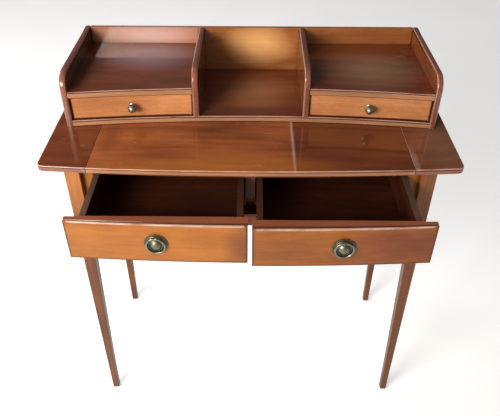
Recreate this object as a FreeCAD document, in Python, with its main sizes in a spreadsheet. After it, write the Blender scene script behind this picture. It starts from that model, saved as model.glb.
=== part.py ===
import FreeCAD, Part
import math
import os
import Sketcher

# A ladies' secretary desk: four tapered legs, a bow-fronted case with two frieze drawers, a top
# with a pull-out writing slide between two fixed end boards, and a low gallery at the back with
# two small drawers, two trays and an open bay.  Millimetres; +Z up, +X to the sitter's right,
# -Y to the front.  The drawers are drawn as far open as the desk rests, and the origin is the
# centre of the floor under the whole object in that state.

Vector = FreeCAD.Vector
doc = FreeCAD.newDocument("SecretaryDesk")
sheet = doc.addObject("Spreadsheet::Sheet", "Sizes")

# Distances "from the back" are counted forward from the back edge of the top.
DRIVING = [
    ("back_edge", 266.74, "Y of the back edge of the top"),
    ("half_width", 404.3, "half the width of the top"),
    ("top_corner_depth", 406.5, "top: front corners, from the back"),
    ("top_bow", 14.3, "top: how far the middle of the front stands before its corners"),
    ("top_height", 772.0, "upper face of the top"),
    ("top_thick", 12.0, "thickness of the end boards"),
    ("top_corner_round", 13.0, "radius of the front corners of the top"),
    ("seam_half", 309.7, "half the width of the bay that the slide runs in"),
    ("seam_gap", 0.5, "gap on each side of the slide"),
    ("slide_drop", 0.4, "play above and below the slide"),
    ("slide_back", 42.0, "slide: back edge, from the back"),
    ("back_strip_depth", 40.0, "fixed strip of the top behind the slide"),
    ("stop_reach", 180.0, "travel of the slide before its stop meets the top rail"),
    ("stop_deep", 18.0, "slide stop, front to back"),
    ("stop_half", 40.0, "slide stop, half its width"),
    ("stop_tall", 24.0, "slide stop, height"),
    ("leg_span", 373.2, "outer faces of the legs, from the middle"),
    ("leg_square", 31.5, "legs: square at the case"),
    ("leg_knee", 25.0, "legs: square at the knee"),
    ("leg_slim", 18.8, "legs: square low down"),
    ("leg_ankle", 16.2, "legs: square at the ankle"),
    ("leg_toe", 15.4, "legs: square at the foot's end"),
    ("knee_height", 471.0, "height of the knee"),
    ("slim_height", 206.0, "height where the taper eases"),
    ("ankle_height", 78.0, "height of the ankle"),
    ("glide_thick", 3.0, "thickness of the glides under the feet"),
    ("glide_round", 6.2, "radius of the glides"),
    ("front_leg_face", 358.0, "front faces of the front legs, from the back"),
    ("rear_leg_face", 18.0, "back faces of the rear legs, from the back"),
    ("case_bottom", 598.0, "lower edge of the aprons and the bottom rail"),
    ("apron_thick", 18.0, "thickness of the aprons"),
    ("apron_setback", 1.5, "aprons: setback from the legs' outer faces"),
    ("rail_back", 338.0, "back faces of the front rails, from the back"),
    ("rail_bow", 12.6, "bow of the front rails and of the drawer fronts"),
    ("bottom_rail_top", 629.0, "upper face of the bottom rail"),
    ("top_rail_bottom", 722.0, "lower face of the top rail"),
    ("stile_inner", 319.5, "inner edges of the outer stiles"),
    ("stile_half", 10.0, "half the width of the middle stile"),
    ("stile_face", 343.5, "front faces of the stiles, from the back"),
    ("stile_thick", 18.0, "thickness of the stiles"),
    ("runner_top", 631.7, "faces that the drawer sides run on"),
    ("runner_thick", 19.7, "thickness of the runners"),
    ("runner_inner", 298.0, "inner edges of the outer runners"),
    ("middle_runner_half", 30.0, "half the width of the middle runner"),
    ("guide_tall", 20.0, "height of the guides on the runners"),
    ("guide_play", 1.2, "play between a drawer side and its guide"),
    ("bearer_inner", 297.0, "slide bearers: inner edge"),
    ("bearer_outer", 319.2, "slide bearers: outer edge"),
    ("bearer_bottom", 714.0, "slide bearers and kicker: lower face"),
    ("kicker_thick", 18.0, "thickness of the kicker over the middle drawer sides"),
    ("front_inner", 4.0, "drawer fronts: inner ends"),
    ("front_outer", 340.0, "drawer fronts: outer ends"),
    ("front_bottom", 630.0, "drawer fronts: lower edge"),
    ("front_top", 720.0, "drawer fronts: upper edge"),
    ("front_back", 342.0, "drawer fronts: flat back when shut, from the back"),
    ("lip_back", 344.0, "drawer fronts: back of the lips when shut, from the back"),
    ("box_inner", 12.6, "drawer boxes: inner side's outer face"),
    ("box_outer", 317.5, "drawer boxes: outer side's outer face"),
    ("box_back", 57.0, "drawer boxes: back when shut, from the back"),
    ("side_thick", 12.0, "thickness of the drawer sides and backs"),
    ("side_bottom", 632.0, "drawer sides: lower edge"),
    ("side_top", 710.0, "drawer sides: upper edge"),
    ("groove_rise", 4.0, "grooves: height above the sides' lower edge"),
    ("groove_deep", 5.0, "depth of the grooves for the drawer bottoms"),
    ("bottom_thick", 4.0, "thickness of the drawer bottoms"),
    ("left_open", 147.3, "how far the left frieze drawer rests open"),
    ("right_open", 155.6, "how far the right frieze drawer rests open"),
    ("pull_place", 172.0, "ring pulls: distance from the middle"),
    ("pull_height", 675.0, "ring pulls: height of the centre"),
    ("plate_round", 22.4, "radius of the pull plates"),
    ("rim_inner", 20.6, "pull plates: inside of the rim"),
    ("rim_rise", 2.4, "pull plates: height of the rim"),
    ("step_foot", 1.6, "pull plates: height of the groove inside the rim"),
    ("step_round", 19.6, "pull plates: radius of the raised step under the ring"),
    ("step_rise", 4.2, "pull plates: height of the step"),
    ("bead_outer", 14.3, "pull plates: outside of the bead"),
    ("bead_inner", 12.9, "pull plates: inside of the bead"),
    ("bead_rise", 5.4, "pull plates: height of the bead"),
    ("boss_round", 11.0, "radius of the domed boss"),
    ("boss_foot", 4.6, "height where the dome starts"),
    ("boss_rise", 10.5, "height of the dome"),
    ("ring_middle", 17.0, "rings: radius to the middle of the wire"),
    ("ring_wire", 1.9, "rings: radius of the wire"),
    ("ring_rise", 6.7, "rings: height of the wire's middle off the front"),
    ("eye_round", 3.5, "eyes: outer radius"),
    ("eye_bore", 2.35, "eyes: radius of the hole"),
    ("eye_wide", 6.4, "eyes: width"),
    ("bolt_round", 2.0, "radius of the pull bolts and knob studs"),
    ("bolt_hole", 2.2, "radius of the holes they pass"),
    ("bolt_seat", 2.05, "radius of the sockets in the plates"),
    ("bolt_depth", 5.0, "how far the bolts go into the plates"),
    ("head_round", 4.5, "radius of the bolt heads"),
    ("head_thick", 2.4, "thickness of the bolt heads"),
    ("head_gap", 0.3, "gap under the bolt heads"),
    ("gallery_back", 6.0, "gallery: back face, from the back"),
    ("gallery_front", 264.0, "gallery: front ends, from the back"),
    ("gallery_hollow", 26.3, "gallery: how far its middle stands behind its ends"),
    ("gallery_half", 379.7, "gallery: outer faces of its sides"),
    ("gallery_top", 886.0, "gallery: upper edges"),
    ("gallery_board", 12.9, "thickness of the gallery sides"),
    ("gallery_round", 32.0, "radius of the front corners of sides and dividers"),
    ("back_thick", 10.0, "thickness of the gallery back"),
    ("base_thick", 12.5, "thickness of the gallery base"),
    ("divider_inner", 107.0, "dividers: inner faces"),
    ("divider_outer", 120.0, "dividers: outer faces"),
    ("divider_front", 241.0, "dividers: front edges, from the back"),
    ("tray_top", 848.8, "upper faces of the trays"),
    ("tray_thick", 13.3, "thickness of the trays"),
    ("small_recess", 6.0, "small drawers: face behind the tray's edge"),
    ("small_front_thick", 14.0, "thickness of the small drawer fronts"),
    ("small_gap", 1.2, "gap around the small drawer fronts"),
    ("small_side_gap", 4.0, "small drawers: sides inside the ends of the fronts"),
    ("small_side_thick", 8.0, "thickness of the small drawer sides"),
    ("small_side_fall", 10.0, "small drawers: sides below the top of the fronts"),
    ("small_back", 18.0, "small drawers: back, from the back of the top"),
    ("knob_place", 243.0, "knobs: distance from the middle"),
    ("knob_height", 810.0, "knobs: height of the centre"),
    ("knob_ball", 9.0, "radius of the ball"),
    ("knob_reach", 12.6, "knobs: middle of the ball off the front"),
    ("knob_neck", 4.0, "radius of the neck"),
    ("knob_foot", 6.6, "radius of the foot"),
    ("knob_foot_thick", 1.3, "thickness of the foot"),
    ("stud_length", 17.0, "length of the knob studs"),
    ("screw_round", 2.0, "radius of the gallery screws"),
    ("screw_head", 4.0, "radius of their countersunk heads"),
    ("screw_sink", 2.6, "depth of the heads"),
    ("screw_rise", 24.0, "how far the screws go into the gallery sides"),
    ("screw_back", 60.0, "rear screws, from the back"),
    ("screw_front", 205.0, "front screws, from the back"),
]


class Size:
    """A number together with the spreadsheet expression that gives it."""

    def __init__(self, text, value):
        self.text = text
        self.value = value

    def __add__(self, other):
        other = as_size(other)
        return Size(f"({self.text} + {other.text})", self.value + other.value)

    def __sub__(self, other):
        other = as_size(other)
        return Size(f"({self.text} - {other.text})", self.value - other.value)

    def __mul__(self, other):
        other = as_size(other)
        return Size(f"({self.text} * {other.text})", self.value * other.value)

    def __truediv__(self, other):
        other = as_size(other)
        return Size(f"({self.text} / {other.text})", self.value / other.value)

    def __neg__(self):
        return Size(f"(0 - {self.text})", -self.value)


def as_size(number):
    return number if isinstance(number, Size) else Size(repr(float(number)), float(number))


def root(size):
    return Size(f"sqrt({size.text})", math.sqrt(size.value))


def fill_sheet():
    """Write the driving sizes into the sheet and return them by name."""
    named = {}
    for row, (alias, value, meaning) in enumerate(DRIVING, start=1):
        sheet.set(f"A{row}", alias)
        sheet.set(f"B{row}", str(value))
        sheet.set(f"C{row}", meaning)
        sheet.setAlias(f"B{row}", alias)
        named[alias] = Size(f"Sizes.{alias}", value)
    doc.recompute()
    return named


dim = fill_sheet()
ZERO = as_size(0.0)
LEFT, RIGHT = -1, 1
SIDE_NAME = {LEFT: "left", RIGHT: "right"}
parts = []


def depth(size):
    """Y of a place that is this far forward of the back edge of the top."""
    return dim["back_edge"] - size


def across(side, inner, outer):
    """The X span of a piece on one side of the middle."""
    return (inner, outer) if side == RIGHT else (-outer, -inner)


def deep(front, back):
    """The Y span between two distances from the back edge of the top."""
    return depth(front), depth(back)


def keep(piece, name):
    piece.Label = name
    parts.append(piece)
    return piece


def bind(piece, path, size):
    piece.setExpression(path, as_size(size).text)


def place(piece, x, y, z, turn=None):
    """Put a piece at a point; turn is the sine of its turn about +Z."""
    if turn is not None:
        piece.Placement = FreeCAD.Placement(Vector(), FreeCAD.Rotation(Vector(0, 0, 1), 1.0))
        piece.setExpression(".Placement.Rotation.Angle", f"asin({turn.text})")
    for axis, size in zip("xyz", (x, y, z)):
        bind(piece, ".Placement.Base." + axis, size)
    return piece


def box(name, x, y, z):
    """A square-edged board between two planes on each axis."""
    piece = doc.addObject("Part::Box", name)
    for prop, (low, high) in zip(("Length", "Width", "Height"), (x, y, z)):
        bind(piece, prop, high - low)
    return place(piece, x[0], y[0], z[0])


def upright_cylinder(name, radius, x, y, z):
    piece = doc.addObject("Part::Cylinder", name)
    bind(piece, "Radius", radius)
    bind(piece, "Height", z[1] - z[0])
    return place(piece, x, y, z[0])


def boolean(kind, name, base, tool):
    piece = doc.addObject("Part::" + kind, name)
    piece.Base = base
    piece.Tool = tool
    return piece


def cut(name, base, tools):
    """Take one or more tool solids away from a base solid."""
    for number, tool in enumerate(tools, start=1):
        last = number == len(tools)
        base = boolean("Cut", name if last else f"{name}_cut{number}", base, tool)
    return base


def group(name, pieces):
    """Several separate solids in one node."""
    compound = doc.addObject("Part::Compound", name)
    compound.Links = pieces
    return keep(compound, name)


def plane_of(body, role):
    return next(item for item in body.Origin.OriginFeatures if item.Role == role)


def arc_between(start, end, centre, clockwise):
    """The arc from start to end about a centre; a clockwise one is drawn from its end."""
    if clockwise:
        start, end = end, start
    radius = (start - centre).Length
    first = math.atan2(start.y - centre.y, start.x - centre.x)
    last = math.atan2(end.y - centre.y, end.x - centre.x)
    circle = Part.Circle(centre, Vector(0, 0, 1), radius)
    return Part.ArcOfCircle(circle, first, last if last > first else last + 2 * math.pi)


def outline(body, name, plane, corners, lift=None):
    """A closed sketch through the corners, each fixed by the sheet.

    A corner is (x, y), or (x, y, (cx, cy), clockwise) where the edge that leaves it is an
    arc about (cx, cy).
    """
    sketch = body.newObject("Sketcher::SketchObject", name)
    sketch.AttachmentSupport = (plane_of(body, plane), "")
    sketch.MapMode = "FlatFace"
    if lift is not None:
        sketch.setExpression(".AttachmentOffset.Base.z", as_size(lift).text)
    corners = [tuple(as_size(v) if i < 2 else v for i, v in enumerate(c)) for c in corners]
    flat = [Vector(corner[0].value, corner[1].value, 0) for corner in corners]
    begins = []
    for i, corner in enumerate(corners):
        start, end = flat[i], flat[(i + 1) % len(flat)]
        if len(corner) == 2:
            sketch.addGeometry(Part.LineSegment(start, end), False)
            begins.append(1)
            continue
        centre = Vector(as_size(corner[2][0]).value, as_size(corner[2][1]).value, 0)
        sketch.addGeometry(arc_between(start, end, centre, corner[3]), False)
        begins.append(2 if corner[3] else 1)
    for i, corner in enumerate(corners):
        before = i - 1 if i else len(corners) - 1
        sketch.addConstraint(
            Sketcher.Constraint("Coincident", before, 3 - begins[before], i, begins[i])
        )
        for kind, letter, size in (("DistanceX", "x", corner[0]), ("DistanceY", "y", corner[1])):
            fix_point(sketch, f"{letter}{i}", kind, i, begins[i], size)
        if len(corner) > 2:
            fix_point(sketch, f"centre{i}", "DistanceY", i, 3, as_size(corner[2][1]))
    return sketch


def fix_point(sketch, label, kind, geometry, point, size):
    index = sketch.addConstraint(Sketcher.Constraint(kind, -1, 1, geometry, point, size.value))
    sketch.renameConstraint(index, label)
    sketch.setExpression("Constraints." + label, size.text)


def new_body(name):
    return doc.addObject("PartDesign::Body", name)


def padded(name, plane, corners, length, backwards=False):
    """A body padded from one outline, away from a plane."""
    body = new_body(name)
    pad = body.newObject("PartDesign::Pad", name + "_pad")
    pad.Profile = outline(body, name + "_outline", plane, corners)
    pad.Reversed = backwards
    bind(pad, "Length", length)
    return body


def turned(name, plane, corners):
    """A body turned about the upright axis of its outline."""
    body = new_body(name)
    sketch = outline(body, name + "_profile", plane, corners)
    turning = body.newObject("PartDesign::Revolution", name + "_turning")
    turning.Profile = sketch
    turning.ReferenceAxis = (sketch, ["V_Axis"])
    turning.Angle = 360.0
    return body


def bow_radius(half, bow):
    return (half * half + bow * bow) / (bow * 2)


def bowed(name, board, radius, middle, z):
    """Keep the part of a board that lies behind a bowed front, whose middle is given."""
    drum = upright_cylinder(name + "_bow", radius, ZERO, depth(middle - radius), z)
    return boolean("Common", name, board, drum)


def hollow_drum(name, offset, z):
    """A drum before the gallery; offset is how far its face lies behind the trays' edge."""
    radius = bow_radius(dim["gallery_half"], dim["gallery_hollow"])
    middle = dim["gallery_front"] - dim["gallery_hollow"]
    return upright_cylinder(name, radius + offset, ZERO, depth(middle + radius), z)


# ---- legs and their glides -------------------------------------------------------------

def square(side):
    return [(0, 0), (side, 0), (side, side), (0, side)]


def leg(name, x, y, quarter_turns):
    """A leg with two straight outer faces, tapered on the two inner ones."""
    stations = [
        (dim["top_height"] - dim["top_thick"], dim["leg_square"]),
        (dim["case_bottom"], dim["leg_square"]),
        (dim["knee_height"], dim["leg_knee"]),
        (dim["slim_height"], dim["leg_slim"]),
        (dim["ankle_height"], dim["leg_ankle"]),
        (dim["glide_thick"], dim["leg_toe"]),
    ]
    body = new_body(name)
    sketches = [
        outline(body, f"{name}_section{i}", "XY_Plane", square(side), lift=height)
        for i, (height, side) in enumerate(stations)
    ]
    loft = body.newObject("PartDesign::AdditiveLoft", name + "_taper")
    loft.Profile = sketches[0]
    loft.Sections = sketches[1:]
    loft.Ruled = True
    body.Placement = FreeCAD.Placement(
        Vector(), FreeCAD.Rotation(Vector(0, 0, 1), 90.0 * quarter_turns)
    )
    keep(place(body, x, y, ZERO), name)


def glide(number, x, y):
    """A low domed metal glide nailed under a foot."""
    r, t = dim["glide_round"], dim["glide_thick"]
    body = turned(f"glide{number}", "XZ_Plane", [(0, 0), (r - 1.2, 0), (r, 1.2), (r, t), (0, t)])
    return place(body, x, y, ZERO)


def legs():
    front, back = depth(dim["front_leg_face"]), depth(dim["rear_leg_face"])
    span = dim["leg_span"]
    leg("leg_front_left", -span, front, 0)
    leg("leg_front_right", span, front, 1)
    leg("leg_rear_right", span, back, 2)
    leg("leg_rear_left", -span, back, 3)
    middle = dim["leg_toe"] / 2
    glides = []
    for side in (LEFT, RIGHT):
        for y in (front + middle, back - middle):
            glides.append(glide(len(glides) + 1, (span - middle) * side, y))
    group("foot_glides", glides)


# ---- case ------------------------------------------------------------------------------

def case():
    frame_top = dim["top_height"] - dim["top_thick"]
    full = (dim["case_bottom"], frame_top)
    inner_leg = dim["leg_span"] - dim["leg_square"]
    apron_outer = dim["leg_span"] - dim["apron_setback"]
    apron_inner = apron_outer - dim["apron_thick"]
    back_outer = dim["rear_leg_face"] + dim["apron_setback"]
    back_inner = back_outer + dim["apron_thick"]
    between_legs = deep(dim["front_leg_face"] - dim["leg_square"],
                        dim["rear_leg_face"] + dim["leg_square"])
    for side in (LEFT, RIGHT):
        name = "apron_" + SIDE_NAME[side]
        keep(box(name, across(side, apron_inner, apron_outer), between_legs, full), name)
    keep(box("apron_back", (-inner_leg, inner_leg), deep(back_inner, back_outer), full),
         "apron_back")

    radius = bow_radius(inner_leg, dim["rail_bow"])
    middle = dim["front_leg_face"] + dim["rail_bow"]
    for name, z in (("rail_front_top", (dim["top_rail_bottom"], frame_top)),
                    ("rail_front_bottom", (dim["case_bottom"], dim["bottom_rail_top"]))):
        blank = box(name + "_blank", (-inner_leg, inner_leg), deep(middle + 5, dim["rail_back"]), z)
        keep(bowed(name, blank, radius, middle, z), name)

    stile_y = deep(dim["stile_face"], dim["stile_face"] - dim["stile_thick"])
    stile_z = (dim["bottom_rail_top"], dim["top_rail_bottom"])
    for side in (LEFT, RIGHT):
        name = "stile_" + SIDE_NAME[side]
        keep(box(name, across(side, dim["stile_inner"], inner_leg), stile_y, stile_z), name)
    half = dim["stile_half"]
    keep(box("stile_middle", (-half, half), stile_y, stile_z), "stile_middle")

    runners(inner_leg, back_inner)

    run = deep(dim["rail_back"], back_inner)
    for side in (LEFT, RIGHT):
        name = "slide_bearer_" + SIDE_NAME[side]
        z = (dim["bearer_bottom"], frame_top)
        keep(box(name, across(side, dim["bearer_inner"], dim["bearer_outer"]), run, z), name)
    half = dim["middle_runner_half"]
    kicker_z = (dim["bearer_bottom"], dim["bearer_bottom"] + dim["kicker_thick"])
    behind_stile = deep(dim["stile_face"] - dim["stile_thick"], back_inner)
    keep(box("kicker_middle", (-half, half), behind_stile, kicker_z), "kicker_middle")


def runners(inner_leg, back_inner):
    """Rebated runners: a flat that carries the drawer side and a raised guide beside it."""
    low = dim["runner_top"] - dim["runner_thick"]
    flat = dim["runner_top"]
    high = flat + dim["guide_tall"]
    guide = dim["box_outer"] + dim["guide_play"]
    length = dim["stile_face"] - dim["stile_thick"] - back_inner
    front_end = depth(dim["stile_face"] - dim["stile_thick"])
    for side in (LEFT, RIGHT):
        name = "runner_" + SIDE_NAME[side]
        corners = [
            (dim["runner_inner"] * side, low),
            (inner_leg * side, low),
            (inner_leg * side, high),
            (guide * side, high),
            (guide * side, flat),
            (dim["runner_inner"] * side, flat),
        ]
        body = padded(name, "XZ_Plane", corners, length, backwards=True)
        keep(place(body, ZERO, front_end, ZERO), name)
    half = dim["middle_runner_half"]
    inner = dim["box_inner"] - dim["guide_play"]
    corners = [
        (-half, low), (half, low), (half, flat), (inner, flat),
        (inner, high), (-inner, high), (-inner, flat), (-half, flat),
    ]
    body = padded("runner_middle", "XZ_Plane", corners, length, backwards=True)
    keep(place(body, ZERO, front_end, ZERO), "runner_middle")


# ---- top and writing slide -------------------------------------------------------------

def screw_places():
    x = dim["gallery_half"] - dim["gallery_board"] / 2
    return [(x, depth(dim["screw_back"])), (x, depth(dim["screw_front"]))]


def countersink(name, x, y, z):
    """A screw-shaped hole: clearance shank and a cone for the head, opening downwards."""
    cone = doc.addObject("Part::Cone", name)
    bind(cone, "Radius1", dim["screw_head"] + 0.1)
    bind(cone, "Radius2", dim["screw_round"] + 0.1)
    bind(cone, "Height", dim["screw_sink"])
    return place(cone, x, y, z)


def round_upright_edge(name, base, radius, x, y):
    """Round the upright edge of a board that stands at (x, y)."""
    doc.recompute()
    chosen = []
    for number, edge in enumerate(base.Shape.Edges, start=1):
        ends = [vertex.Point for vertex in edge.Vertexes]
        if len(ends) == 2 and all(abs(p.x - x) < 0.5 and abs(p.y - y) < 0.5 for p in ends):
            chosen.append((number, radius.value, radius.value))
    fillet = doc.addObject("Part::Fillet", name)
    fillet.Base = base
    fillet.Edges = chosen
    return fillet


def desk_top():
    low = dim["top_height"] - dim["top_thick"]
    z = (low, dim["top_height"])
    radius = bow_radius(dim["half_width"], dim["top_bow"])
    middle = dim["top_corner_depth"] + dim["top_bow"]
    for side in (LEFT, RIGHT):
        name = "top_end_" + SIDE_NAME[side]
        x = across(side, dim["seam_half"] + dim["seam_gap"], dim["half_width"])
        blank = box(name + "_blank", x, deep(middle + 5, ZERO), z)
        curved = bowed(name + "_curved", blank, radius, middle, z)
        corner_x = dim["half_width"].value * side
        corner_y = depth(dim["top_corner_depth"]).value
        rounded = round_upright_edge(name + "_rounded", curved, dim["top_corner_round"],
                                     corner_x, corner_y)
        holes = []
        for number, (hole_x, hole_y) in enumerate(screw_places(), start=1):
            label = f"{name}_hole{number}"
            bore = dim["screw_round"] + 0.1
            holes.append(upright_cylinder(label, bore, hole_x * side, hole_y, z))
            holes.append(countersink(label + "_sink", hole_x * side, hole_y, low))
        keep(cut(name, rounded, holes), name)
    seam = dim["seam_half"] + dim["seam_gap"]
    keep(box("top_back_strip", (-seam, seam), deep(dim["back_strip_depth"], ZERO), z),
         "top_back_strip")

    slide_z = (low + dim["slide_drop"], dim["top_height"] - dim["slide_drop"])
    half = dim["seam_half"] - dim["seam_gap"]
    blank = box("writing_slide_blank", (-half, half), deep(middle + 5, dim["slide_back"]), slide_z)
    keep(bowed("writing_slide", blank, radius, middle, slide_z), "writing_slide")
    stop_face = dim["rail_back"] - dim["stop_reach"] - 0.3
    stop_z = (slide_z[0] - dim["stop_tall"], slide_z[0])
    keep(box("slide_stop", (-dim["stop_half"], dim["stop_half"]),
             deep(stop_face, stop_face - dim["stop_deep"]), stop_z), "slide_stop")


def gallery_screws():
    """Countersunk screws up through the end boards into the gallery sides."""
    r, head, sink = dim["screw_round"], dim["screw_head"], dim["screw_sink"]
    tip = dim["top_thick"] + dim["screw_rise"]
    low = dim["top_height"] - dim["top_thick"]
    corners = [(0, 0.1), (head, 0.1), (r, sink), (r, tip - 4), (0, tip)]
    screws = []
    for side in (LEFT, RIGHT):
        for x, y in screw_places():
            body = turned(f"screw{len(screws) + 1}", "XZ_Plane", corners)
            screws.append(place(body, x * side, y, low))
    group("gallery_screws", screws)


# ---- gallery ---------------------------------------------------------------------------

def standing_board(name, front, bottom, thick):
    """A board standing front to back, with one rounded corner at the top of its front."""
    back_y, front_y = ZERO, -front
    top, r = dim["gallery_top"] - bottom, dim["gallery_round"]
    corners = [
        (back_y, 0),
        (back_y, top),
        (front_y + r, top, (front_y + r, top - r), False),
        (front_y, top - r),
        (front_y, 0),
    ]
    return padded(name, "YZ_Plane", corners, thick)


def gallery():
    low, top = dim["top_height"], dim["gallery_top"]
    inner = dim["gallery_half"] - dim["gallery_board"]
    panel_face = dim["gallery_back"] + dim["back_thick"]
    for side in (LEFT, RIGHT):
        name = "gallery_side_" + SIDE_NAME[side]
        reach = dim["gallery_front"] - dim["gallery_back"]
        board = standing_board(name + "_board", reach, low, dim["gallery_board"])
        place(board, across(side, inner, dim["gallery_half"])[0], depth(dim["gallery_back"]), low)
        pilot = (low, low + dim["screw_rise"] + 1)
        holes = [
            upright_cylinder(f"{name}_hole{number}", dim["screw_round"] + 0.1, x * side, y, pilot)
            for number, (x, y) in enumerate(screw_places(), start=1)
        ]
        keep(cut(name, board, holes), name)

    keep(box("gallery_back", (-inner, inner), deep(panel_face, dim["gallery_back"]), (low, top)),
         "gallery_back")

    floor = low + dim["base_thick"]
    deck = deep(dim["gallery_front"] + 2, panel_face)
    base = box("gallery_base_blank", (-inner, inner), deck, (low, floor))
    keep(cut("gallery_base", base, [hollow_drum("gallery_base_hollow", ZERO, (low, floor))]),
         "gallery_base")

    for side in (LEFT, RIGHT):
        name = "divider_" + SIDE_NAME[side]
        thick = dim["divider_outer"] - dim["divider_inner"]
        board = standing_board(name, dim["divider_front"] - panel_face, floor, thick)
        x = across(side, dim["divider_inner"], dim["divider_outer"])[0]
        keep(place(board, x, depth(panel_face), floor), name)

        name = "tray_" + SIDE_NAME[side]
        z = (dim["tray_top"] - dim["tray_thick"], dim["tray_top"])
        blank = box(name + "_blank", across(side, dim["divider_outer"], inner), deck, z)
        keep(cut(name, blank, [hollow_drum(name + "_hollow", ZERO, z)]), name)


# ---- frieze drawers --------------------------------------------------------------------

def frieze_front(name, side, shift):
    """A lipped front: bowed outside, flat inside, rebated at both ends."""
    z = (dim["front_bottom"], dim["front_top"])
    radius = bow_radius(dim["front_outer"], dim["rail_bow"])
    middle = dim["front_leg_face"] + dim["rail_bow"] + shift
    x = across(side, dim["front_inner"], dim["front_outer"])
    back = dim["front_back"] + shift
    blank = box(name + "_blank", x, deep(middle + 5, back), z)
    curved = bowed(name + "_curved", blank, radius, middle, z)
    rebate_y = deep(dim["lip_back"] + shift, back)
    outer = box(name + "_rebate1", across(side, dim["box_outer"], dim["front_outer"]), rebate_y, z)
    inner = box(name + "_rebate2", across(side, dim["front_inner"], dim["box_inner"]), rebate_y, z)
    groove_z = (dim["side_bottom"] + dim["groove_rise"],
                dim["side_bottom"] + dim["groove_rise"] + dim["bottom_thick"])
    edge = dim["side_thick"] - dim["groove_deep"]
    groove_x = across(side, dim["box_inner"] + edge, dim["box_outer"] - edge)
    groove = box(name + "_groove", groove_x, deep(back + dim["groove_deep"], back), groove_z)
    turn = dim["pull_place"] / radius * side
    bore = across_bore(name + "_bore", dim["bolt_hole"], pull_point(side, shift), turn)
    return keep(cut(name, curved, [outer, inner, groove, bore]), name)


def across_bore(name, radius, point, turn):
    """A hole straight through a drawer front, square to its face."""
    body = turned(name, "XY_Plane", [(0, -20), (radius, -20), (radius, 60), (0, 60)])
    return place(body, *point, turn=turn)


def pull_point(side, shift):
    """The middle of a ring pull, on the bowed face."""
    radius = bow_radius(dim["front_outer"], dim["rail_bow"])
    x = dim["pull_place"]
    face = dim["front_leg_face"] + dim["rail_bow"] + shift - radius + root(radius * radius - x * x)
    return x * side, depth(face), dim["pull_height"]


def grooved_side(name, side, inner, groove_inward, shift):
    """A drawer side with the groove that holds the bottom; inner is its face near the middle."""
    outer = inner + dim["side_thick"]
    low, high = dim["side_bottom"], dim["side_top"]
    groove = low + dim["groove_rise"]
    faced, other = (outer, inner) if groove_inward > 0 else (inner, outer)
    slot = faced - dim["groove_deep"] * groove_inward
    corners = [
        (other * side, low), (faced * side, low), (faced * side, groove),
        (slot * side, groove), (slot * side, groove + dim["bottom_thick"]),
        (faced * side, groove + dim["bottom_thick"]), (faced * side, high), (other * side, high),
    ]
    length = dim["front_back"] - dim["box_back"]
    body = padded(name, "XZ_Plane", corners, length, backwards=True)
    return keep(place(body, ZERO, depth(dim["front_back"] + shift), ZERO), name)


def frieze_drawer(side, shift):
    prefix = f"frieze_{SIDE_NAME[side]}_"
    frieze_front(prefix + "front", side, shift)
    grooved_side(prefix + "side_inner", side, dim["box_inner"], 1, shift)
    grooved_side(prefix + "side_outer", side, dim["box_outer"] - dim["side_thick"], -1, shift)
    within = across(side, dim["box_inner"] + dim["side_thick"], dim["box_outer"] - dim["side_thick"])
    bottom_low = dim["side_bottom"] + dim["groove_rise"]
    bottom_high = bottom_low + dim["bottom_thick"]
    back = dim["box_back"] + shift
    keep(box(prefix + "back", within, deep(back + dim["side_thick"], back),
             (bottom_high, dim["side_top"] - 4)), prefix + "back")
    edge = dim["side_thick"] - dim["groove_deep"]
    wide = across(side, dim["box_inner"] + edge, dim["box_outer"] - edge)
    keep(box(prefix + "bottom", wide,
             deep(dim["front_back"] + shift + dim["groove_deep"], back),
             (bottom_low, bottom_high)), prefix + "bottom")

    radius = bow_radius(dim["front_outer"], dim["rail_bow"])
    turn = dim["pull_place"] / radius * side
    point = pull_point(side, shift)
    pull_plate(prefix + "pull_plate", point, turn)
    pull_ring(prefix + "pull_ring", point, turn)
    thick = dim["front_leg_face"] + dim["rail_bow"] - dim["front_back"]
    pull_bolt(prefix + "pull_bolt", point, turn, thick)


def pull_plate(name, point, turn):
    """A round plate with rim, bead and domed boss, and an eye at the top for the ring."""
    rise, r = dim["boss_rise"], dim["boss_round"]
    tall = rise - dim["boss_foot"]
    dome = bow_radius(r, tall)
    seat, socket = dim["bolt_seat"], dim["bolt_depth"]
    corners = [
        (seat, 0), (dim["plate_round"], 0), (dim["plate_round"], -(dim["rim_rise"] - 0.8)),
        (dim["plate_round"] - 0.7, -dim["rim_rise"]), (dim["rim_inner"], -dim["rim_rise"]),
        (dim["rim_inner"] - 0.3, -dim["step_foot"]), (dim["step_round"], -dim["step_rise"]),
        (dim["bead_outer"], -dim["step_rise"]), (dim["bead_outer"], -dim["bead_rise"]),
        (dim["bead_inner"], -dim["bead_rise"]), (dim["bead_inner"] - 0.8, -dim["boss_foot"]),
        (r, -dim["boss_foot"], (ZERO, -(rise - dome)), True),
        (0, -rise), (0, -socket), (seat, -socket),
    ]
    body = turned(name, "XY_Plane", corners)
    eye = circle_sketch(body, name + "_eye", dim["eye_round"])
    pad = body.newObject("PartDesign::Pad", name + "_eye_pad")
    pad.Profile = eye
    pad.SideType = "Symmetric"
    bind(pad, "Length", dim["eye_wide"])
    hole = circle_sketch(body, name + "_eye_hole", dim["eye_bore"])
    pocket = body.newObject("PartDesign::Pocket", name + "_eye_pocket")
    pocket.Profile = hole
    pocket.SideType = "Symmetric"
    bind(pocket, "Length", dim["eye_wide"] + 0.2)
    keep(place(body, *point, turn=turn), name)


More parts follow.
